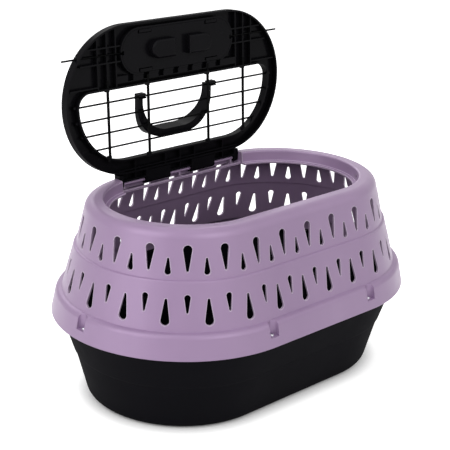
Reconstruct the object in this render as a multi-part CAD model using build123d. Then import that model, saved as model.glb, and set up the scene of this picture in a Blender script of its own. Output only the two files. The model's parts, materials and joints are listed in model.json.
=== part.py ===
from build123d import *
import math
import os

# Top-load cat carrier: a tub, a slotted top shell, a hinged wire lid with two sprung latch rods
# and a folding carry handle. Millimetres. +X runs along the length, +Y points to the hinge side
# and +Z is up. The origin is on the floor under the middle. The lid stands open against its stop.

# Plan: every wall follows a stadium, a straight core with a half round at each end
CORE = 85.6
WALL = 3.0
SHELL_WALL = 2.2

# Tub
TUB_FOOT_R = 118.0
TUB_FOOT_ROUND = 14.0
TUB_STEP_Z = 62.0
TUB_STEP_R = 135.0
TUB_TOP_R = 151.9
TUB_TOP_Z = 118.0
FOOT_WIDTH = 12.0
FOOT_RECESS = 1.5
FLANGE_R = 156.6
FLANGE_THICK = 3.2

# Top shell
SKIRT_R = 162.4
SKIRT_Z = 108.9
SHOULDER_R = 156.4
SHOULDER_Z = 137.2
GROOVE_R = 149.3
GROOVE_Z = 139.2
TIER_R = 134.0
TIER_Z = 195.0
TIER_STEP = 2.7
TIER_ROUND = 2.0
RIM_R = 118.0
RIM_Z = 250.5
RIM_ROUND = 13.0
MOUTH_TOP_R = 97.6
LEDGE_WALL_R = 96.0
LEDGE_Z = 236.5
LEDGE_R = 90.5

# Teardrop slots, spaced evenly round the plan
SLOT_STEPS_STRAIGHT = 4
SLOT_STEPS_ROUND = 18
SLOT_PITCH = CORE / SLOT_STEPS_STRAIGHT
BIG_ROUND_R = 5.2
BIG_TIP_R = 1.5
SMALL_ROUND_R = 3.6
SMALL_TIP_R = 1.2
UPPER_BIG_Z = (204.0, 233.8)
UPPER_SMALL_Z = (200.3, 219.6)
LOWER_BIG_Z = (145.8, 175.6)
LOWER_SMALL_Z = (159.4, 180.3)
UPPER_REACH = (114.0, 140.0)
LOWER_REACH = (124.0, 156.0)

# Screws that hold the shell to the tub
SCREW_LINE_R = 153.4
SCREW_R = 1.5
SCREW_LENGTH = 11.0
SCREW_HEAD_R = 3.0
SCREW_HEAD_HEIGHT = 2.2
BOSS_R = 3.4
BOSS_HEIGHT = 10.0
PILOT_DEPTH = 8.5
POCKET_LINE_R = 157.0
POCKET_R = 7.0
POCKET_Z = 121.0

# Hinge along +X, and the lid's lean past upright when open
HINGE_Y = 107.2
HINGE_Z = 241.85
LID_LEAN_DEG = 2.96
BAR_R = 2.0
BAR_CLEARANCE = 0.08
KNUCKLE_R = 5.0
NOTCH_HALF = 104.0
NOTCH_BACK_Y = 112.7
NOTCH_SIDE = 2.6
LIP_Y = (97.5, 100.5)
HOOK_SPAN = (18.5, 59.5)
CHEEK_SPAN = (96.0, 103.2)
BRIDGE_X = (-93.0, 0.0, 93.0)
BRIDGE_THICK = 2.4

# Lid frame, in its own plane: x, s away from the hinge, w out of the plane towards the inside
LID_R = 94.0
LID_MID = 107.3
LID_HALF_DEPTH = 5.0
LID_SKIN = 2.4
LID_WALL = 2.4
WINDOW_R = 75.0
WINDOW_TOP = 123.2
WINDOW_CORNER = 17.0
TONGUE_HALF = 103.2
TONGUE_FOOT = 3.6
SKIN_TOP = LID_SKIN - LID_HALF_DEPTH

# Ribs inside the lid frame, and the bar with square pockets beside the window
RIB_THICK = 1.8
RIB_TOP = 3.6
SIDE_RIB_X = (101.0, 115.0, 129.5)
SIDE_RIB_S = (156.5, 175.5)
TONGUE_RIB_X = (25.4, 76.0)
TONGUE_RIB_S = 18.0
BAR_S = (129.4, 138.2)
POCKET_ROW_PITCH = 24.6
POCKET_ROW_SHIFT = -5.0
POCKET_ROW_WIDTH = 8.6
POCKET_ROW_S = (130.4, 138.4)
POCKET_ROW_FLOOR = -2.0

# Grille
LONG_WIRE_R = 1.2
LONG_WIRE_S = (50.6, 69.8, 88.5)
PIVOT_WIRE_S = 107.5
UPRIGHT_R = 1.8
UPRIGHT_X = (-115.1, -50.9, 50.9, 115.1)
UPRIGHT_W = LONG_WIRE_R + UPRIGHT_R - 0.1
UPRIGHT_OVERRUN = 12.0
WIRE_GRIP = 5.0
WIRE_BOSS_R = 3.3
WIRE_END_R = 2.6

# Latch cover, thumb wells and the sprung slides
COVER_MID_S = 165.8
COVER_HALF_WIDTH = 27.0
COVER_HALF_LENGTH = 92.0
COVER_THICK = 2.0
COVER_GAP = 0.3
POST_R = 2.6
POST_PLACES = ((80, 183), (30, 187), (30, 148), (0, 145), (0, 187.5))
WELL_INNER_X = 14.0
WELL_OUTER_X = 48.0
WELL_MID_S = 166.0
WELL_WIDTH = 19.5
WELL_DEPTH = 9.5
WELL_WALL = 2.0
WELL_ROUND = 3.0
ROD_R = 1.15
ROD_TIP_X = 180.5
ROD_START_X = 60.0
LATCH_TRAVEL = 20.0
SLIDE_HALF_THICK = 1.6
SLIDE_WIDTH = 6.0
TAB_X = WELL_INNER_X + LATCH_TRAVEL + 1.0
TAB_THICK = 3.0
TAB_WIDTH = 15.0
EAR_X = 80.5
EAR_THICK = 3.0
SPRING_S = 150.0
SPRING_STOP_X = 50.0
SPRING_R = 2.3
SPRING_WIRE = 0.5
SNAP_X = 55.5
SNAP_S = (142.5, 189.3)
SNAP_HALF = 9.5
SNAP_SLOT_HALF = 11.0
SNAP_SLOT_WIDTH = 3.6

# Carry handle, hanging plumb from the pivot wire on the outside of the grille
HANDLE_HALF = 62.8
HANDLE_BAND = 7.4
GRIP_S = (48.7, 58.0)
HANDLE_OUTER_CORNER = 43.0
HANDLE_INNER_CORNER = 42.0
HANDLE_CLEAR_W = -2.2
HANDLE_ROUND = 1.8
LEG_DEPTH = 6.6
GRIP_DEPTH = 24.0
HUB_R = 3.5
HUB_BACK = 6.0
HUB_SPAN = (54.0, 66.0)


def place_lid(shape):
    """Put a piece drawn flat in the lid's plane where the open lid stands."""
    lean = math.radians(LID_LEAN_DEG)
    plane = Plane(
        origin=(0, HINGE_Y, HINGE_Z),
        x_dir=(1, 0, 0),
        z_dir=(0, -math.cos(lean), math.sin(lean)),
    )
    return plane.location * shape


def rounded_section(corners):
    """Closed face through (r, z, rounding) corners, drawn in the XY plane."""
    face = make_face(Polyline(*[(r, z) for r, z, _ in corners], close=True))
    for r, z, rounding in corners:
        if rounding:
            corner = face.vertices().sort_by_distance((r, z, 0))[0]
            face = fillet(corner, rounding)
    return face


def stadium_wall(corners):
    """Sweep a half section round the plan: two straight sides and two half-round ends."""
    section = Rot(0, 0, -90) * (Plane.XZ * rounded_section(corners))
    front = extrude(Pos(-CORE, 0, 0) * section, amount=2 * CORE, dir=(1, 0, 0))
    end = Pos(CORE, 0, 0) * revolve(section, Axis.Z, 180)
    return front + end + Rot(0, 0, 180) * front + Rot(0, 0, 180) * end


def stadium(radius, half_core=CORE):
    """Flat stadium about the origin."""
    return SlotCenterToCenter(2 * half_core, 2 * radius)


def slab(sketch, low, high):
    """Extrude a flat sketch between two heights."""
    return Pos(0, 0, low) * extrude(sketch, amount=high - low)


def block(x, y, z):
    """Box between pairs of limits."""
    size = [high - low for low, high in (x, y, z)]
    centre = [(low + high) / 2 for low, high in (x, y, z)]
    return Pos(*centre) * Box(*size)


def rod_x(radius, x_low, x_high, s, w):
    """Round bar along X."""
    bar = Cylinder(radius, x_high - x_low, rotation=(0, 90, 0))
    return Pos((x_low + x_high) / 2, s, w) * bar


def rod_s(radius, x, s_low, s_high, w):
    """Round bar along the lid's s direction."""
    bar = Cylinder(radius, s_high - s_low, rotation=(90, 0, 0))
    return Pos(x, (s_low + s_high) / 2, w) * bar


def mirrored(shape):
    """The same shape on the other side of the carrier's middle."""
    return mirror(shape, Plane.YZ)


def stations():
    """Slot places round the plan, each with whether it holds a big upper slot."""
    for step in range(-SLOT_STEPS_STRAIGHT, SLOT_STEPS_STRAIGHT + 1):
        big = step % 2 == 0
        yield Pos(step * SLOT_PITCH, 0, 0), big
        yield Pos(step * SLOT_PITCH, 0, 0) * Rot(0, 0, 180), big
    for step in range(1, SLOT_STEPS_ROUND):
        turn = 180 * step / SLOT_STEPS_ROUND
        big = step % 2 == 0
        yield Pos(CORE, 0, 0) * Rot(0, 0, turn), big
        yield Pos(-CORE, 0, 0) * Rot(0, 0, -turn), big


def teardrop(z_range, round_r, tip_r, round_up, reach):
    """Cutter for one slot, drawn on the front wall and reaching between two radii."""
    low, high = z_range
    round_z = high - round_r if round_up else low + round_r
    tip_z = low + tip_r if round_up else high - tip_r
    edges = (Pos(0, round_z) * Circle(round_r)).edges() + (Pos(0, tip_z) * Circle(tip_r)).edges()
    drop = Plane.XZ * make_hull(edges)
    return Pos(0, -reach[0], 0) * extrude(drop, amount=reach[1] - reach[0], dir=(0, -1, 0))


def slot_cutters():
    """Every ventilation slot of the two tiers."""
    upper_big = teardrop(UPPER_BIG_Z, BIG_ROUND_R, BIG_TIP_R, True, UPPER_REACH)
    upper_small = teardrop(UPPER_SMALL_Z, SMALL_ROUND_R, SMALL_TIP_R, False, UPPER_REACH)
    lower_big = teardrop(LOWER_BIG_Z, BIG_ROUND_R, BIG_TIP_R, False, LOWER_REACH)
    lower_small = teardrop(LOWER_SMALL_Z, SMALL_ROUND_R, SMALL_TIP_R, True, LOWER_REACH)
    cutters = []
    for place, big in stations():
        cutters.append(place * (upper_big if big else upper_small))
        cutters.append(place * (lower_small if big else lower_big))
    return cutters


def screw_places(line_r):
    """Six places on the flange: four at the ends of the straight sides and two at the round ends."""
    corners = [(x, y) for x in (-CORE, CORE) for y in (-line_r, line_r)]
    return corners + [(CORE + line_r, 0), (-CORE - line_r, 0)]


def make_tub():
    """Open tub with a soft step half way up, a top flange and six screw bosses."""
    floor = FOOT_RECESS + WALL
    outer = [
        (0, FOOT_RECESS, 0),
        (TUB_FOOT_R - TUB_FOOT_ROUND - FOOT_WIDTH, FOOT_RECESS, 0),
        (TUB_FOOT_R - TUB_FOOT_ROUND - FOOT_WIDTH + FOOT_RECESS, 0, 0),
        (TUB_FOOT_R, 0, TUB_FOOT_ROUND),
        (TUB_STEP_R - 0.8, TUB_STEP_Z - 1.5, 1.0),
        (TUB_STEP_R + 1.4, TUB_STEP_Z + 1.5, 1.0),
        (TUB_TOP_R, TUB_TOP_Z - FLANGE_THICK - 4, 0),
        (TUB_TOP_R, TUB_TOP_Z - FLANGE_THICK, 0),
        (FLANGE_R, TUB_TOP_Z - FLANGE_THICK, 0),
        (FLANGE_R, TUB_TOP_Z, 0),
    ]
    inner = [
        (TUB_TOP_R - WALL, TUB_TOP_Z, 0),
        (TUB_TOP_R - WALL, TUB_TOP_Z - FLANGE_THICK - 4, 0),
        (TUB_STEP_R + 1.4 - WALL, TUB_STEP_Z + 1.5, 0),
        (TUB_STEP_R - 0.8 - WALL, TUB_STEP_Z - 1.5, 0),
        (TUB_FOOT_R - WALL, floor, TUB_FOOT_ROUND - WALL),
        (0, floor, 0),
    ]
    tub = stadium_wall(outer + inner)
    boss_bottom = TUB_TOP_Z - BOSS_HEIGHT
    for x, y in screw_places(SCREW_LINE_R):
        tub += Pos(x, y, boss_bottom) * extrude(Circle(BOSS_R), amount=BOSS_HEIGHT)
    cavity = stadium_wall([(0, boss_bottom - 1, 0), (TUB_TOP_R - WALL - 2, boss_bottom - 1, 0),
                           (TUB_TOP_R - WALL, TUB_TOP_Z + 1, 0), (0, TUB_TOP_Z + 1, 0)])
    tub -= cavity
    for x, y in screw_places(SCREW_LINE_R):
        tub -= Pos(x, y, TUB_TOP_Z - PILOT_DEPTH) * extrude(Circle(SCREW_R - 0.1), amount=PILOT_DEPTH)
    return tub


def shell_outside():
    """Corners of the top shell's outside, from the skirt up to the rim."""
    return [
        (SKIRT_R, SKIRT_Z, 0.8),
        (SHOULDER_R, SHOULDER_Z, 6.5),
        (GROOVE_R, GROOVE_Z, 0),
        (TIER_R, TIER_Z - 0.4, TIER_ROUND),
        (TIER_R - TIER_STEP, TIER_Z + 0.4, 0),
        (RIM_R, RIM_Z, RIM_ROUND),
    ]


def make_top_shell():
    """Two-tier shell with its rim, lid ledge, slots, screw pockets, hinge bar and latch holes."""
    inside = [
        (MOUTH_TOP_R, RIM_Z, 2.2),
        (LEDGE_WALL_R, LEDGE_Z, 0),
        (LEDGE_R, LEDGE_Z, 0.8),
        (LEDGE_R, LEDGE_Z - WALL, 0.8),
        (LEDGE_WALL_R + WALL, LEDGE_Z - WALL, 0),
        (MOUTH_TOP_R + WALL, RIM_Z - WALL, 1.0),
        (RIM_R - 2.3, RIM_Z - WALL, RIM_ROUND - WALL),
        (TIER_R - TIER_STEP - SHELL_WALL, TIER_Z - 0.6, 0),
        (TIER_R - SHELL_WALL + 0.2, TIER_Z - 1.4, 0),
        (GROOVE_R - SHELL_WALL, GROOVE_Z - 1.6, 0),
        (SHOULDER_R - SHELL_WALL + 0.4, SHOULDER_Z - SHELL_WALL, 4.0),
        (SKIRT_R - SHELL_WALL, SKIRT_Z, 0),
    ]
    shell = stadium_wall(shell_outside() + inside)
    outline = stadium_wall([(0, SKIRT_Z, 0)] + shell_outside() + [(0, RIM_Z, 0)])

    # Screw pockets sunk into the shoulder
    for x, y in screw_places(POCKET_LINE_R):
        tube = Pos(x, y, TUB_TOP_Z) * extrude(Circle(POCKET_R + 2.2), amount=SHOULDER_Z - TUB_TOP_Z + 3)
        shell += tube & outline
    for x, y in screw_places(POCKET_LINE_R):
        shell -= Pos(x, y, POCKET_Z) * extrude(Circle(POCKET_R), amount=SHOULDER_Z - POCKET_Z + 5)
    for x, y in screw_places(SCREW_LINE_R):
        shell -= Pos(x, y, TUB_TOP_Z - 1) * extrude(Circle(SCREW_R + 0.3), amount=10)

    # Hinge notch: side walls, back stop, and a thin lip in place of the ledge
    lip_front, lip_back = LIP_Y
    lip_low = LEDGE_Z - WALL
    across = (-NOTCH_HALF, NOTCH_HALF)
    surround = block((-NOTCH_HALF - NOTCH_SIDE, NOTCH_HALF + NOTCH_SIDE),
                     (lip_front, NOTCH_BACK_Y + WALL), (lip_low, RIM_Z))
    shell += surround & outline
    shell -= block(across, (LEDGE_R - 10, lip_front), (lip_low - 1, RIM_Z + 10))
    shell -= block(across, (lip_front - 1, NOTCH_BACK_Y), (LEDGE_Z, RIM_Z + 10))
    shell -= block(across, (lip_back, NOTCH_BACK_Y), (lip_low - 1, LEDGE_Z + 1))

    # Hinge bar, on bridges that run from the lip to the back stop
    shell += rod_x(BAR_R, -NOTCH_HALF - 0.6, NOTCH_HALF + 0.6, HINGE_Y, HINGE_Z)
    for x in BRIDGE_X:
        sides = (x - BRIDGE_THICK / 2, x + BRIDGE_THICK / 2)
        shell += block(sides, (lip_front, NOTCH_BACK_Y + 1), (lip_low, LEDGE_Z))
        shell += block(sides, (HINGE_Y - 1.4, HINGE_Y + 1.4), (lip_low, HINGE_Z))

    # Holes in the recess wall that catch the latch rods when the lid is shut
    rod_y = HINGE_Y - WELL_MID_S
    for side in (-1, 1):
        hole = rod_x(ROD_R + 0.9, 150, 172, rod_y, HINGE_Z)
        shell -= hole if side > 0 else mirrored(hole)

    return shell - slot_cutters()


def make_screws():
    """Six pan-head screws with cross recesses."""
    screws = []
    for x, y in screw_places(SCREW_LINE_R):
        shank = Pos(x, y, POCKET_Z - SCREW_LENGTH) * extrude(Circle(SCREW_R), amount=SCREW_LENGTH)
        head = Pos(x, y, POCKET_Z) * extrude(Circle(SCREW_HEAD_R), amount=SCREW_HEAD_HEIGHT)
        head = fillet(head.edges().sort_by(Axis.Z)[-1], 1.1)
        recess = Pos(x, y, POCKET_Z + SCREW_HEAD_HEIGHT) * (Box(3.2, 0.8, 2.0) + Box(0.8, 3.2, 2.0))
        screws.append(shank + head - recess)
    return Compound(children=screws)


def window_outline():
    """Lid window: the stadium cut by a straight front edge with round corners."""
    window = Pos(0, LID_MID) * stadium(WINDOW_R)
    window -= Pos(0, WINDOW_TOP + LID_R) * Rectangle(4 * LID_R, 2 * LID_R)
    return fillet(window.vertices().group_by(Axis.Y)[-1], WINDOW_CORNER)


def well_outline(grow=0.0):
    """One thumb well seen from above: flat at its inner end and round at its outer end."""
    half = WELL_WIDTH / 2 + grow
    round_x = WELL_OUTER_X - WELL_WIDTH / 2
    end = Pos(round_x, WELL_MID_S) * Circle(half)
    straight = (WELL_INNER_X - grow + round_x) / 2
    body = Pos(straight, WELL_MID_S) * Rectangle(round_x - WELL_INNER_X + grow, 2 * half)
    return end + body


def cover_outline(grow=0.0):
    """Stadium outline of the latch cover."""
    half_core = COVER_HALF_LENGTH - COVER_HALF_WIDTH
    return Pos(0, COVER_MID_S) * stadium(COVER_HALF_WIDTH + grow, half_core)


def upright_ends(x):
    """Where an upright wire meets the window's near and far edges."""
    beyond = max(0.0, abs(x) - CORE)
    return LID_MID - math.sqrt(WINDOW_R ** 2 - beyond ** 2), WINDOW_TOP


def long_wire_half(s):
    """Half the window's width at a long wire."""
    return CORE + math.sqrt(WINDOW_R ** 2 - (s - LID_MID) ** 2)


def make_uprights():
    """Four thick wires that run away from the hinge."""
    wires = []
    for x in UPRIGHT_X:
        near, far = upright_ends(x)
        wires.append(rod_s(UPRIGHT_R, x, near - WIRE_GRIP, far + UPRIGHT_OVERRUN, UPRIGHT_W))
    return wires


def make_long_wire(s):
    """One thin wire along the lid."""
    half = long_wire_half(s) + WIRE_GRIP
    return rod_x(LONG_WIRE_R, -half, half, s, 0)


def frame_ribs():
    """Stiffening ribs of the lid frame, before they are trimmed to its hollow."""
    ribs = []
    rib = (SKIN_TOP - 0.5, RIB_TOP)
    half = RIB_THICK / 2
    for x in SIDE_RIB_X:
        ribs.append(block((x - half, x + half), (124, 200), rib))
    for s in SIDE_RIB_S:
        ribs.append(block((COVER_HALF_LENGTH + 1, 156), (s - half, s + half), rib))
    ribs.append(block((130, 172), (128.5 - half, 128.5 + half), rib))
    for x in TONGUE_RIB_X:
        ribs.append(block((x - half, x + half), (5, 33), rib))
    both = ribs + [mirrored(r) for r in ribs]
    both.append(block((-half, half), (5, 33), rib))
    both.append(block((-TONGUE_HALF, TONGUE_HALF), (TONGUE_RIB_S - half, TONGUE_RIB_S + half), rib))
    both.append(block((-100, 100), BAR_S, rib))
    return both


def pocket_row():
    """Cutters for the row of square pockets in the bar beside the window."""
    half = POCKET_ROW_WIDTH / 2
    cutters = []
    for step in range(-3, 4):
        x = POCKET_ROW_PITCH * step + POCKET_ROW_SHIFT
        cutters.append(block((x - half, x + half), POCKET_ROW_S, (POCKET_ROW_FLOOR, LID_HALF_DEPTH + 1)))
    return cutters


def make_lid_frame(wires):
    """Open tray frame: outer skin, rim wall, window wall, ribs, hinge tongue and latch housing."""
    depth = (-LID_HALF_DEPTH, LID_HALF_DEPTH)
    window = window_outline()
    outline = Pos(0, LID_MID) * stadium(LID_R)
    hollow = Pos(0, LID_MID) * stadium(LID_R - LID_WALL)
    window_rim = offset(window, LID_WALL)

    tongue = Pos(0, 20) * Rectangle(2 * TONGUE_HALF, 2 * (20 - TONGUE_FOOT))
    frame = slab(outline + tongue, -LID_HALF_DEPTH, SKIN_TOP)
    frame += slab(outline - hollow, *depth)
    frame += slab(window_rim, *depth)
    inside = slab(hollow + tongue, SKIN_TOP - 1, LID_HALF_DEPTH)
    for rib in frame_ribs():
        frame += rib & inside

    # Tongue edges, knuckle hooks and cheeks round the hinge bar
    frame += block((-TONGUE_HALF, TONGUE_HALF), (TONGUE_FOOT, TONGUE_FOOT + 2.2), depth)
    for low, high in (HOOK_SPAN, CHEEK_SPAN):
        knuckle = rod_x(KNUCKLE_R, low, high, 0, 0)
        knuckle += block((low, high), (0, TONGUE_FOOT + 9), depth)
        frame += knuckle + mirrored(knuckle)
    frame -= rod_x(BAR_R + BAR_CLEARANCE, -TONGUE_HALF - 1, TONGUE_HALF + 1, 0, 0)
    frame -= block((-TONGUE_HALF - 1, TONGUE_HALF + 1), (-KNUCKLE_R - 1, 0), (-1.6, 1.6))

    # Housing of the latch: wall round the cover, wells, spring stops and cover posts
    housing = cover_outline(COVER_GAP + 2.2) - cover_outline(COVER_GAP)
    frame -= slab(cover_outline(COVER_GAP), SKIN_TOP, LID_HALF_DEPTH + 1)
    frame += slab(housing, SKIN_TOP - 0.5, LID_HALF_DEPTH) & inside
    cover_seat = LID_HALF_DEPTH - COVER_THICK
    well = slab(well_outline(1.6), SKIN_TOP - 0.5, cover_seat)
    well -= block((40, 60), (WELL_MID_S - 3.8, WELL_MID_S + 3.8), (SKIN_TOP, LID_HALF_DEPTH))
    stop = block((SPRING_STOP_X - 2, SPRING_STOP_X), (146.6, 153.4), (SKIN_TOP - 0.5, cover_seat))
    frame += well + mirrored(well) + stop + mirrored(stop)
    for x, s in POST_PLACES:
        post = slab(Pos(x, s) * Circle(POST_R), SKIN_TOP - 0.5, cover_seat)
        frame += post + mirrored(post)
    opening = slab(well_outline(), -LID_HALF_DEPTH - 1, LID_HALF_DEPTH)
    frame -= opening + mirrored(opening)
    frame -= pocket_row()
    frame += snap_tongues()

    # Window, wire bosses and sockets, and the way out for the rods
    frame -= slab(window, -LID_HALF_DEPTH - 1, LID_HALF_DEPTH + 1)
    for boss in wire_bosses():
        frame += boss
    for wire in wires:
        frame -= wire
    rod_way = rod_x(ROD_R + 0.35, COVER_HALF_LENGTH - 4, 170, WELL_MID_S, 0)
    rod_way += block((COVER_HALF_LENGTH - 4, 152), (WELL_MID_S - ROD_R - 0.35, WELL_MID_S + ROD_R + 0.35),
                     (0, LID_HALF_DEPTH + 1))
    return frame - rod_way - mirrored(rod_way)


def wire_bosses():
    """Short bosses at both ends of every wire; those of the uprights stand into the window."""
    bosses = []
    for x in UPRIGHT_X:
        near, far = upright_ends(x)
        bosses.append(rod_s(WIRE_BOSS_R, x, near - 4, near + 2, UPRIGHT_W - 1.4))
        bosses.append(rod_s(WIRE_BOSS_R, x, far - 2, far + 2, UPRIGHT_W - 1.4))
    for s in LONG_WIRE_S + (PIVOT_WIRE_S,):
        half = long_wire_half(s)
        end = rod_x(WIRE_END_R, half + 0.5, half + WIRE_GRIP + 1.5, s, 0)
        bosses += [end, mirrored(end)]
    return bosses


def snap_tongues():
    """Four small hooks that hold the latch cover."""
    hooks = []
    for s in SNAP_S:
        outward = 1 if s > COVER_MID_S else -1
        for x in (-SNAP_X, SNAP_X):
            sides = (x - SNAP_HALF, x + SNAP_HALF)
            hook = block(sides, (s - 0.8, s + 0.8), (SKIN_TOP - 0.5, LID_HALF_DEPTH + 1.2))
            hook += block(sides, sorted((s, s + outward * 2.8)), (LID_HALF_DEPTH + 0.15, LID_HALF_DEPTH + 1.2))
            hooks.append(hook)
    return hooks


def make_latch_cover():
    """Cover plate with two thumb wells that stand proud on the inside of the lid."""
    low = LID_HALF_DEPTH - COVER_THICK
    top = LID_HALF_DEPTH + WELL_DEPTH
    cover = slab(cover_outline(), low, LID_HALF_DEPTH)
    boss = slab(well_outline(WELL_WALL), low, top)
    boss = fillet(boss.faces().sort_by(Axis.Z)[-1].edges(), WELL_ROUND)
    well = slab(well_outline(), low - 1, top - WELL_WALL)
    cover += boss + mirrored(boss)
    cover -= well + mirrored(well)
    for s in SNAP_S:
        for x in (-SNAP_X, SNAP_X):
            cover -= block((x - SNAP_SLOT_HALF, x + SNAP_SLOT_HALF),
                           (s - SNAP_SLOT_WIDTH / 2, s + SNAP_SLOT_WIDTH / 2), (low - 1, LID_HALF_DEPTH + 1))
    notch = block((COVER_HALF_LENGTH - 3, COVER_HALF_LENGTH + 1), (WELL_MID_S - 2.5, WELL_MID_S + 2.5),
                  (low - 1, LID_HALF_DEPTH + 1))
    return cover - notch - mirrored(notch)


def make_latch_rod():
    """Right-hand latch rod with a rounded tip."""
    rod = rod_x(ROD_R, ROD_START_X, ROD_TIP_X, WELL_MID_S, 0)
    return fillet(rod.edges().sort_by(Axis.X)[-1], 0.7)


def make_latch_slide(rod):
    """Right-hand slide: thumb tab, arm that grips the rod, and the ear that the spring pushes."""
    thick = (-SLIDE_HALF_THICK, SLIDE_HALF_THICK)
    half = SLIDE_WIDTH / 2
    arm = block((TAB_X, EAR_X + EAR_THICK), (WELL_MID_S - half, WELL_MID_S + half), thick)
    ear = block((EAR_X, EAR_X + EAR_THICK), (SPRING_S - 2.6, WELL_MID_S + half), (-2.2, 2.2))
    tab = block((TAB_X, TAB_X + TAB_THICK), (WELL_MID_S - TAB_WIDTH / 2, WELL_MID_S + TAB_WIDTH / 2),
                (-3.4, LID_HALF_DEPTH + WELL_DEPTH - WELL_WALL - 1.0))
    tab = fillet(tab.edges().filter_by(Axis.X), 1.5)
    return arm + ear + tab - rod


def make_latch_spring():
    """Right-hand compression spring, as the sleeve its coils fill."""
    gap = 0.05
    sleeve = rod_x(SPRING_R, SPRING_STOP_X + gap, EAR_X - gap, SPRING_S, 0)
    return sleeve - rod_x(SPRING_R - SPRING_WIRE, SPRING_STOP_X, EAR_X, SPRING_S, 0)


def make_handle():
    """Carry handle: clip hubs on the pivot wire and a smooth U that is deepest in mid grip."""
    grip_low, grip_high = GRIP_S
    top = PIVOT_WIRE_S
    outer = Pos(0, (grip_low + top) / 2) * Rectangle(2 * HANDLE_HALF, top - grip_low)
    outer = fillet(outer.vertices().group_by(Axis.Y)[0], HANDLE_OUTER_CORNER)
    inner_half = HANDLE_HALF - HANDLE_BAND
    inner = Pos(0, (grip_high + top) / 2) * Rectangle(2 * inner_half, top - grip_high)
    inner = fillet(inner.vertices().group_by(Axis.Y)[0], HANDLE_INNER_CORNER)

    # The back follows an arc from leg to leg, so the depth tapers from the grip up to the hubs
    deep = HANDLE_CLEAR_W - GRIP_DEPTH
    leg_w = HANDLE_CLEAR_W - LEG_DEPTH
    reach = HANDLE_HALF + 1
    back = ThreePointArc((-reach, leg_w), (0, deep), (reach, leg_w))
    front = Polyline((reach, leg_w), (reach, HANDLE_CLEAR_W), (-reach, HANDLE_CLEAR_W), (-reach, leg_w))
    depth = extrude(Plane.XZ * make_face(back + front), amount=-top - 1)
    body = slab(outer, deep, HANDLE_CLEAR_W)
    front_edges = body.faces().sort_by(Axis.Z)[-1].edges().sort_by(Axis.Y)
    body = fillet(front_edges[:-1], HANDLE_ROUND)
    handle = (body & depth) - slab(inner, deep - 1, HANDLE_CLEAR_W + 1)

    hub = rod_x(HUB_R, *HUB_SPAN, top, 0) + block(HUB_SPAN, (top - HUB_R, top + HUB_R), (-HUB_BACK, 0))
    handle += hub + mirrored(hub)
    handle -= rod_x(LONG_WIRE_R + 0.08, -HANDLE_HALF - 9, HANDLE_HALF + 9, top, 0)
    handle -= block((-HANDLE_HALF - 9, HANDLE_HALF + 9), (top - 0.85, top + 0.85), (0, HUB_R + 1))
    return Pos(0, top, 0) * Rot(LID_LEAN_DEG, 0, 0) * Pos(0, -top, 0) * handle


def build_nodes():
    """Every separate piece of the carrier, by name."""
    uprights = make_uprights()
    long_wires = [make_long_wire(s) for s in LONG_WIRE_S]
    pivot_wire = make_long_wire(PIVOT_WIRE_S)
    rod = make_latch_rod()
    slide = make_latch_slide(rod)
    spring = make_latch_spring()
    lid = {
        "lid_frame": make_lid_frame(uprights + long_wires + [pivot_wire]),
        "latch_cover": make_latch_cover(),
        "handle_pivot_wire": pivot_wire,
        "carry_handle": make_handle(),
        "latch_rod_right": rod,
        "latch_rod_left": mirrored(rod),
        "latch_slide_right": slide,
        "latch_slide_left": mirrored(slide),
        "latch_spring_right": spring,
        "latch_spring_left": mirrored(spring),
    }
    for number, wire in enumerate(uprights, 1):
        lid[f"grille_upright_{number}"] = wire
    for number, wire in enumerate(long_wires, 1):
        lid[f"grille_long_wire_{number}"] = wire
    nodes = {"base_tub": make_tub(), "top_shell": make_top_shell(), "shell_screws": make_screws()}
    for name, shape in lid.items():
        nodes[name] = place_lid(shape)
    return nodes


os.makedirs("parts", exist_ok=True)
for node_name, node_shape in build_nodes().items():
    export_step(node_shape, f"parts/{node_name}.step")
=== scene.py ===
import json
import math

import bpy
from mathutils import Matrix, Vector


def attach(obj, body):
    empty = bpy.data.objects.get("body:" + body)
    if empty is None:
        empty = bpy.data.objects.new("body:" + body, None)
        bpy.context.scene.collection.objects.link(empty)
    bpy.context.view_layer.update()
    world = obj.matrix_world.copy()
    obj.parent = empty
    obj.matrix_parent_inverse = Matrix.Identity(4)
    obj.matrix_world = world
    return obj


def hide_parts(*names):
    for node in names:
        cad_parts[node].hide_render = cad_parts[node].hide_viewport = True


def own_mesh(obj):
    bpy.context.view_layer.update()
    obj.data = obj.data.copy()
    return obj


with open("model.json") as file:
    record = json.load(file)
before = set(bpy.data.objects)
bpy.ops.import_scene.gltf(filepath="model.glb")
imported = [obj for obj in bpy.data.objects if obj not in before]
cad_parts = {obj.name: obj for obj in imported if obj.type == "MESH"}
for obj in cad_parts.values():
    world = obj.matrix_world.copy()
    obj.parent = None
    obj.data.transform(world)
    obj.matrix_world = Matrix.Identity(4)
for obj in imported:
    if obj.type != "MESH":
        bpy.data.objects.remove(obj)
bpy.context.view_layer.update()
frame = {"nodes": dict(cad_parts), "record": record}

# Places on the carrier, in metres, as the frame has them
HINGE_Y = 0.1072
HINGE_Z = 0.24185
LID_LEAN = math.radians(2.96)
SLOT_BANDS_START = (0.142, 0.144)
TIER_STEP_Z = 0.1945
TIER_STEP_REACH = 0.004

# Wound latch spring: its line in the lid, its two ends at rest, and its wire
SPRING_S = 0.150
SPRING_FIXED_X = 0.05005
SPRING_FREE_X = 0.08045
SPRING_R = 0.0023
SPRING_WIRE_R = 0.00026
SPRING_TURNS = 13
STEPS_PER_TURN = 18
WIRE_SIDES = 8

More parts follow.
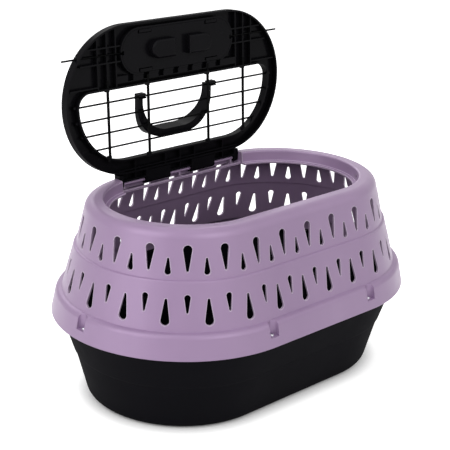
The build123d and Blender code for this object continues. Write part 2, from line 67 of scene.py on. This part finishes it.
# The photograph's viewpoint
CAMERA_AZIMUTH = math.radians(-44.04)
CAMERA_ELEVATION = math.radians(19.51)
CAMERA_ROLL = math.radians(1.56)
CAMERA_DISTANCE = 1.63289
CAMERA_ASIDE = 0.00701
CAMERA_BELOW = 0.18407
FOCAL_PIXELS = 1237.72
PHOTO_PIXELS = 450
SENSOR_MM = 36.0
NEAR_CLIP = 0.05
FAR_CLIP = 100.0

# Colours: a pair where a surface drifts between two shades
SHELL_SHADES = ((0.395, 0.270, 0.442), (0.445, 0.311, 0.49))
# Paler shade painted along the slots' edges as a highlight
SLOT_HIGHLIGHT_SHADE = (0.72, 0.62, 0.74)
TUB_SHADES = ((0.0032, 0.0030, 0.0048), (0.0048, 0.0044, 0.0068))
LID_SHADES = ((0.0048, 0.0046, 0.0058), (0.0066, 0.0062, 0.0078))
WIRE_SHADES = ((0.0025, 0.0025, 0.0028), (0.0045, 0.0045, 0.0048))
SCREW_SHADE = (0.66, 0.66, 0.69)
SPRING_SHADE = (0.60, 0.60, 0.62)

# Painted highlight along the slots' sharp edges, where light catches them: its width, its strength, and
# how far a softened normal turns in it
SLOT_HIGHLIGHT_WIDTH = 0.0018
SLOT_HIGHLIGHT_STRENGTH = 0.9
SLOT_HIGHLIGHT_TURN = (0.94, 0.998)
GRAIN_DEPTH = 0.0002

# Light: each lamp's azimuth and elevation in degrees, and its watts
WORLD_LEVEL = 0.13
LAMPS = {
    "left_low": (-90, 10, 8),
    "left_high": (-90, 40, 14),
    "front": (-10, 34, 12),
    "right": (40, 30, 3),
    "top": (-60, 85, 5),
    "back": (150, 40, 12),
}
LAMP_DISTANCE = 2.2
LAMP_SIZE = 1.4
LIGHT_AIM = Vector((0, 0, 0.18))

# Floor: its own glow near the carrier and far from it, and how far a painted contact shadow darkens it
FLOOR_HALF = 14.0
FLOOR_SHADE = (0.82, 0.82, 0.82)
GLOW_NEAR = 0.78
GLOW_FAR = 1.0
GLOW_REACH = (0.24, 0.50)
CONTACT_SHADOW_REACH = 0.018


def toward(azimuth, elevation):
    """Direction from the carrier at an azimuth from the front and an elevation."""
    flat = math.cos(elevation)
    return Vector((math.sin(azimuth) * flat, -math.cos(azimuth) * flat, math.sin(elevation)))


def make_camera():
    """Camera at the photograph's place, aimed and rolled as it was."""
    back = toward(CAMERA_AZIMUTH, CAMERA_ELEVATION)
    right = Vector((0, 0, 1)).cross(back).normalized()
    up = back.cross(right)
    turned_right = math.cos(CAMERA_ROLL) * right + math.sin(CAMERA_ROLL) * up
    turned_up = math.cos(CAMERA_ROLL) * up - math.sin(CAMERA_ROLL) * right
    place = CAMERA_DISTANCE * back - CAMERA_ASIDE * turned_right + CAMERA_BELOW * turned_up
    data = bpy.data.cameras.new("photo_camera")
    data.sensor_width = SENSOR_MM
    data.lens = FOCAL_PIXELS / PHOTO_PIXELS * SENSOR_MM
    data.clip_start = NEAR_CLIP
    data.clip_end = FAR_CLIP
    camera = bpy.data.objects.new("photo_camera", data)
    bpy.context.scene.collection.objects.link(camera)
    axes = Matrix((turned_right, turned_up, back)).transposed()
    camera.matrix_world = Matrix.Translation(place) @ axes.to_4x4()
    bpy.context.scene.camera = camera


class Nodes:
    """Short way to build a material's nodes."""

    def __init__(self, name):
        self.material = bpy.data.materials.new(name)
        self.material.use_nodes = True
        self.tree = self.material.node_tree
        self.shader = self.tree.nodes["Principled BSDF"]

    def add(self, kind, **settings):
        """New node with its settings."""
        node = self.tree.nodes.new(kind)
        for key, value in settings.items():
            setattr(node, key, value)
        return node

    def join(self, source, target):
        """Link an output to an input."""
        self.tree.links.new(source, target)

    def feed(self, source, name):
        """Link an output to one of the shader's inputs."""
        self.join(source, self.shader.inputs[name])

    def set(self, **values):
        """Give the shader's inputs constant values."""
        for key, value in values.items():
            self.shader.inputs[key.replace("_", " ")].default_value = value

    def place(self):
        """The object's own coordinates."""
        return self.add("ShaderNodeTexCoord").outputs["Object"]

    def noise(self, scale, detail=3.0, roughness=0.5, stretch=None):
        """Noise on the object's own coordinates, stretched along an axis if asked."""
        where = self.place()
        if stretch:
            mapping = self.add("ShaderNodeMapping")
            mapping.inputs["Scale"].default_value = stretch
            self.join(where, mapping.inputs["Vector"])
            where = mapping.outputs["Vector"]
        noise = self.add("ShaderNodeTexNoise")
        noise.inputs["Scale"].default_value = scale
        noise.inputs["Detail"].default_value = detail
        noise.inputs["Roughness"].default_value = roughness
        self.join(where, noise.inputs["Vector"])
        return noise.outputs["Fac"]

    def spread(self, value, low, high, reach=(0.3, 0.7)):
        """Map a reach of a value, by default the middle of a noise, to low..high."""
        node = self.add("ShaderNodeMapRange")
        node.inputs["From Min"].default_value = reach[0]
        node.inputs["From Max"].default_value = reach[1]
        node.inputs["To Min"].default_value = low
        node.inputs["To Max"].default_value = high
        self.join(value, node.inputs["Value"])
        return node.outputs["Result"]

    def times(self, first, second):
        """Product of two nodes' outputs."""
        node = self.add("ShaderNodeMath", operation="MULTIPLY")
        self.join(first, node.inputs[0])
        self.join(second, node.inputs[1])
        return node.outputs["Value"]

    def blend(self, amount, first, second):
        """Colour mix of two fixed colours by a node's output."""
        node = self.add("ShaderNodeMix", data_type="RGBA")
        node.inputs["A"].default_value = (*first, 1)
        node.inputs["B"].default_value = (*second, 1)
        self.join(amount, node.inputs["Factor"])
        return node.outputs["Result"]

    def softened(self, radius, samples):
        """Surface normal with its edges softened to a small radius."""
        node = self.add("ShaderNodeBevel", samples=samples)
        node.inputs["Radius"].default_value = radius
        return node.outputs["Normal"]

    def surface(self, height, strength, edge):
        """Fine grain, over edges that are softened to a small radius."""
        node = self.add("ShaderNodeBump")
        node.inputs["Strength"].default_value = strength
        node.inputs["Distance"].default_value = GRAIN_DEPTH
        self.join(height, node.inputs["Height"])
        self.join(self.softened(edge, 4), node.inputs["Normal"])
        self.feed(node.outputs["Normal"], "Normal")


def slot_edge_highlights(m, colour):
    """The colour with a painted highlight, turning paler close to sharp edges within the shell's two
    bands of slots.
    """
    turned = m.add("ShaderNodeVectorMath", operation="DOT_PRODUCT")
    m.join(m.softened(SLOT_HIGHLIGHT_WIDTH, 6), turned.inputs[0])
    m.join(m.add("ShaderNodeNewGeometry").outputs["Normal"], turned.inputs[1])
    # Painted highlight: paler colour on sharp edges, where light would catch the rounded slot edges
    edge_highlight = m.spread(turned.outputs["Value"], SLOT_HIGHLIGHT_STRENGTH, 0.0, SLOT_HIGHLIGHT_TURN)
    place = m.add("ShaderNodeSeparateXYZ")
    m.join(m.place(), place.inputs["Vector"])
    in_bands = m.spread(place.outputs["Z"], 0.0, 1.0, SLOT_BANDS_START)
    at_step = m.add("ShaderNodeMath", operation="COMPARE")
    m.join(place.outputs["Z"], at_step.inputs[0])
    at_step.inputs[1].default_value = TIER_STEP_Z
    at_step.inputs[2].default_value = TIER_STEP_REACH
    off_step = m.spread(at_step.outputs["Value"], 1.0, 0.0, (0.0, 1.0))
    mix = m.add("ShaderNodeMix", data_type="RGBA")
    mix.inputs["B"].default_value = (*SLOT_HIGHLIGHT_SHADE, 1)
    m.join(colour, mix.inputs["A"])
    m.join(m.times(m.times(edge_highlight, in_bands), off_step), mix.inputs["Factor"])
    return mix.outputs["Result"]


def shell_plastic():
    """Pearly mauve plastic with faint flow lines, a satin skin and a painted highlight along the edges of
    its slots.
    """
    m = Nodes("shell_mauve")
    flow = m.noise(6.0, 4.0, 0.6, stretch=(1.0, 1.0, 0.25))
    colour = m.blend(m.spread(flow, 0.0, 1.0), *SHELL_SHADES)
    m.feed(slot_edge_highlights(m, colour), "Base Color")
    m.feed(m.spread(m.noise(40.0, 2.0), 0.34, 0.42), "Roughness")
    m.set(Metallic=0.15, Specular_IOR_Level=0.35, Coat_Weight=0.10, Coat_Roughness=0.22)
    m.surface(m.noise(900.0, 2.0), strength=0.05, edge=0.0008)
    return m.material


def tub_plastic():
    """Near-black satin plastic with a slight violet cast."""
    m = Nodes("tub_black")
    m.feed(m.blend(m.spread(m.noise(8.0, 3.0), 0.0, 1.0), *TUB_SHADES), "Base Color")
    m.feed(m.spread(m.noise(60.0, 2.0), 0.36, 0.44), "Coat Roughness")
    m.set(Roughness=0.6, Specular_IOR_Level=0.0, Coat_Weight=0.09)
    m.surface(m.noise(1200.0, 2.0), strength=0.10, edge=0.0006)
    return m.material


def lid_plastic():
    """Black semi-gloss plastic of the lid, latch and handle."""
    m = Nodes("lid_black")
    m.feed(m.blend(m.spread(m.noise(12.0, 2.0), 0.0, 1.0), *LID_SHADES), "Base Color")
    m.feed(m.spread(m.noise(90.0, 2.0), 0.20, 0.28), "Coat Roughness")
    m.set(Roughness=0.5, Specular_IOR_Level=0.0, Coat_Weight=0.12)
    m.surface(m.noise(1500.0, 2.0), strength=0.06, edge=0.0004)
    return m.material


def coated_wire():
    """Black powder coat on steel wire."""
    m = Nodes("wire_black")
    m.feed(m.blend(m.noise(200.0, 2.0), *WIRE_SHADES), "Base Color")
    m.set(Roughness=0.4, Specular_IOR_Level=0.0, Coat_Weight=0.06, Coat_Roughness=0.2)
    return m.material


def plated_steel(name, shade):
    """Bright steel with a fine brushed variation in its roughness."""
    m = Nodes(name)
    m.set(Base_Color=(*shade, 1), Metallic=1.0)
    m.feed(m.spread(m.noise(400.0, 3.0, stretch=(1, 1, 8)), 0.2, 0.38), "Roughness")
    return m.material


def make_materials():
    """One material for each slot that the record names."""
    return {
        "shell_purple": shell_plastic(),
        "tub_black": tub_plastic(),
        "lid_black": lid_plastic(),
        "wire_black": coated_wire(),
        "screw_steel": plated_steel("screw_steel", SCREW_SHADE),
        "spring_steel": plated_steel("spring_steel", SPRING_SHADE),
    }


def dress_nodes(materials):
    """Give every CAD node its material, by the slot that the record names."""
    for part in frame["record"]["subparts"]:
        node = frame["nodes"][part["node"]]
        node.data.materials.clear()
        node.data.materials.append(materials[part["material_slot"]])


def lid_point(x, s, w):
    """Place of a point given in the open lid's own plane."""
    y = HINGE_Y + s * math.sin(LID_LEAN) - w * math.cos(LID_LEAN)
    z = HINGE_Z + s * math.cos(LID_LEAN) + w * math.sin(LID_LEAN)
    return Vector((x, y, z))


def coil_mesh(side, name):
    """Closed mesh of one spring's wire, wound from its fixed end to its free end."""
    steps = STEPS_PER_TURN * SPRING_TURNS
    coil_r = SPRING_R - SPRING_WIRE_R
    start = SPRING_FIXED_X + SPRING_WIRE_R
    run = SPRING_FREE_X - SPRING_FIXED_X - 2 * SPRING_WIRE_R
    points, faces = [], []
    for step in range(steps + 1):
        turn = 2 * math.pi * SPRING_TURNS * step / steps
        for k in range(WIRE_SIDES):
            around = 2 * math.pi * k / WIRE_SIDES
            out = coil_r + SPRING_WIRE_R * math.cos(around)
            x = start + run * step / steps + SPRING_WIRE_R * math.sin(around)
            points.append(lid_point(side * x, SPRING_S + out * math.cos(turn), out * math.sin(turn)))
    for step in range(steps):
        for k in range(WIRE_SIDES):
            a = step * WIRE_SIDES + k
            b = step * WIRE_SIDES + (k + 1) % WIRE_SIDES
            faces.append((a, b, b + WIRE_SIDES, a + WIRE_SIDES))
    faces.append(tuple(range(WIRE_SIDES)))
    faces.append(tuple(range(steps * WIRE_SIDES, (steps + 1) * WIRE_SIDES)))
    mesh = bpy.data.meshes.new(name)
    mesh.from_pydata(points, [], faces)
    mesh.polygons.foreach_set("use_smooth", [True] * len(mesh.polygons))
    return mesh


def make_spring(side, name, material):
    """Wound latch spring in place of its plain sleeve, carried with the lid."""
    mesh = coil_mesh(side, f"coil_{name}")
    mesh.materials.append(material)
    coil = bpy.data.objects.new(f"coil_{name}", mesh)
    bpy.context.scene.collection.objects.link(coil)
    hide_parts(f"latch_spring_{name}")
    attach(coil, "lid")
    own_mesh(coil)


def shown_white(tree):
    """1 for rays that show the surroundings: straight to the camera, in a reflection or through glass."""
    path = tree.nodes.new("ShaderNodeLightPath")
    shown = path.outputs["Is Camera Ray"]
    for ray in ("Is Glossy Ray", "Is Transmission Ray"):
        either = tree.nodes.new("ShaderNodeMath")
        either.operation = "MAXIMUM"
        tree.links.new(shown, either.inputs[0])
        tree.links.new(path.outputs[ray], either.inputs[1])
        shown = either.outputs[0]
    return shown


def make_floor():
    """Pale floor that shows white and keeps the object's shadow, with a painted contact shadow close to
    the carrier.
    """
    mesh = bpy.data.meshes.new("floor")
    corners = [(x * FLOOR_HALF, y * FLOOR_HALF, 0) for x, y in ((-1, -1), (1, -1), (1, 1), (-1, 1))]
    mesh.from_pydata(corners, [], [(0, 1, 2, 3)])
    floor = bpy.data.objects.new("floor", mesh)
    bpy.context.scene.collection.objects.link(floor)
    m = Nodes("floor_white")
    m.set(Base_Color=(*FLOOR_SHADE, 1), Roughness=0.9, Emission_Color=(1, 1, 1, 1))
    away = m.add("ShaderNodeVectorMath", operation="LENGTH")
    m.join(m.place(), away.inputs[0])
    glow = m.spread(away.outputs["Value"], GLOW_NEAR, GLOW_FAR, GLOW_REACH)
    # Painted contact shadow: the floor's glow dims where the carrier is close by
    painted_contact_shadow = m.add("ShaderNodeAmbientOcclusion", samples=16)
    painted_contact_shadow.inputs["Distance"].default_value = CONTACT_SHADOW_REACH
    shaded = m.times(glow, painted_contact_shadow.outputs["AO"])
    m.feed(m.times(shaded, shown_white(m.tree)), "Emission Strength")
    mesh.materials.append(m.material)


def make_world():
    """Even surroundings, white where they are seen directly or in a reflection."""
    world = bpy.data.worlds.new("studio")
    bpy.context.scene.world = world
    world.use_nodes = True
    tree = world.node_tree
    background = tree.nodes["Background"]
    background.inputs["Color"].default_value = (1, 1, 1, 1)
    level = tree.nodes.new("ShaderNodeMapRange")
    level.inputs["To Min"].default_value = WORLD_LEVEL
    level.inputs["To Max"].default_value = 1.0
    tree.links.new(shown_white(tree), level.inputs["Value"])
    tree.links.new(level.outputs["Result"], background.inputs["Strength"])


def light_scene():
    """Soft square lamps, aimed at the carrier's middle."""
    for name, (azimuth, elevation, watts) in LAMPS.items():
        aside = toward(math.radians(azimuth), math.radians(elevation))
        data = bpy.data.lights.new(name, "AREA")
        data.shape = "SQUARE"
        data.size = LAMP_SIZE
        data.energy = watts
        lamp = bpy.data.objects.new(name, data)
        lamp.location = LIGHT_AIM + LAMP_DISTANCE * aside
        lamp.rotation_euler = aside.to_track_quat("Z", "Y").to_euler()
        bpy.context.scene.collection.objects.link(lamp)


make_camera()
materials = make_materials()
dress_nodes(materials)
make_spring(1, "right", materials["spring_steel"])
make_spring(-1, "left", materials["spring_steel"])
make_floor()
make_world()
light_scene()
bpy.context.scene.view_settings.view_transform = "Standard"
